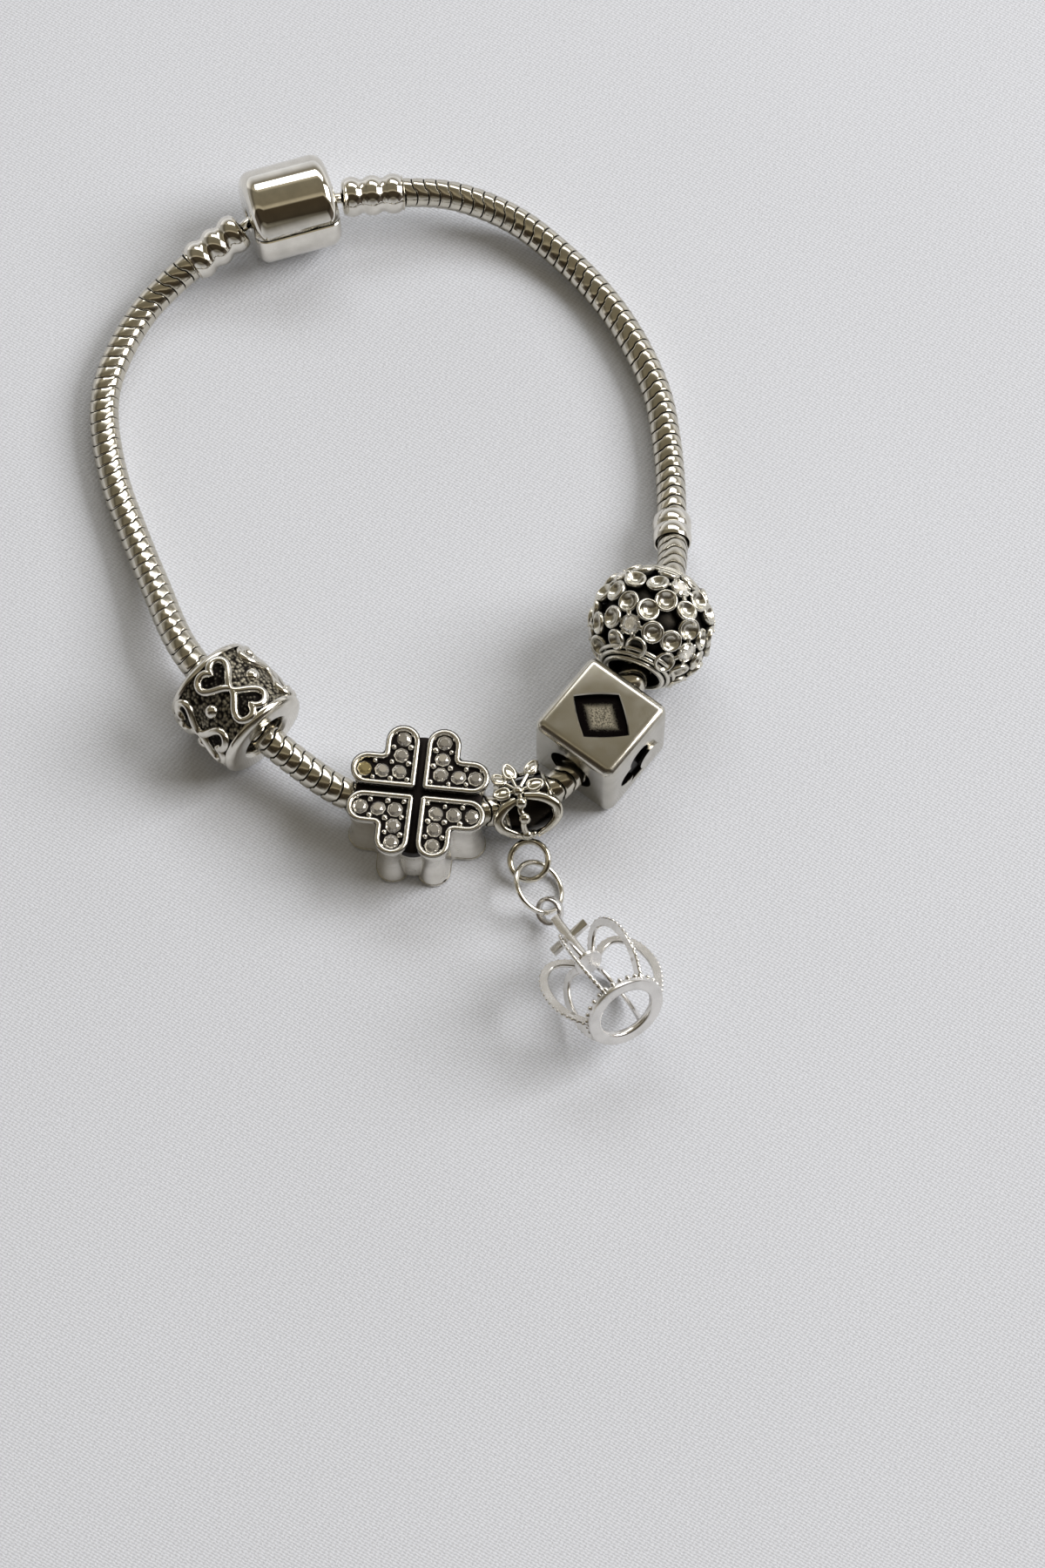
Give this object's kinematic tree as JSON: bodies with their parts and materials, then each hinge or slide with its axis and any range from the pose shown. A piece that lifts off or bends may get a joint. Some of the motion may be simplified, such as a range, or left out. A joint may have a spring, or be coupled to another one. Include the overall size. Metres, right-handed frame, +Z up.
{
  "type": "charm bracelet",
  "caption": "Charm bracelet: a snake chain closed by a hinged barrel clasp, threaded with patterned metal beads, with a crown pendant on linked rings.",
  "frame": {"origin": "centre of the bounding box in plan, on the surface that the bracelet lies on", "axes": "+X to the right in the picture, +Y from the beads to the clasp, +Z up from the surface"},
  "size_m": [0.0622, 0.0953, 0.0126],
  "materials": {
    "chain_silver": "polished woven links, darkened between them",
    "cap_left_silver": "polished",
    "cap_right_silver": "polished",
    "clasp_silver": "mirror polished",
    "lid_silver": "mirror polished",
    "pin_steel": "polished",
    "stopper_silver": "polished",
    "antique_silver": "antiqued, blackened ground",
    "clover_silver": "antiqued, set with clear stones",
    "bail_silver": "antiqued",
    "ring_silver": "polished",
    "crown_silver": "satin",
    "cube_silver": "polished, blackened recesses",
    "ball_silver": "antiqued, set with clear stones"
  },
  "bodies": {
    "bracelet": {"snake_chain": "chain_silver", "cap_left": "cap_left_silver", "cap_right": "cap_right_silver", "clasp_base": "clasp_silver", "clasp_hinge_pin": "pin_steel", "stopper_ring": "stopper_silver", "heart_bead": "antique_silver", "clover_bead": "clover_silver", "bail_bead": "bail_silver", "jump_ring": "ring_silver", "crown_pendant": "crown_silver", "cube_bead": "cube_silver", "flower_ball": "ball_silver"},
    "clasp_lid_body": {"clasp_lid": "lid_silver"}
  },
  "joints": [
    {"name": "clasp_hinge", "type": "hinge", "parent": "bracelet", "child": "clasp_lid_body", "pos_m": [-0.01232, 0.04531, 0.00296], "axis": [-0.9553, -0.2957, 0], "range_deg": [0, 75]}
  ]
}
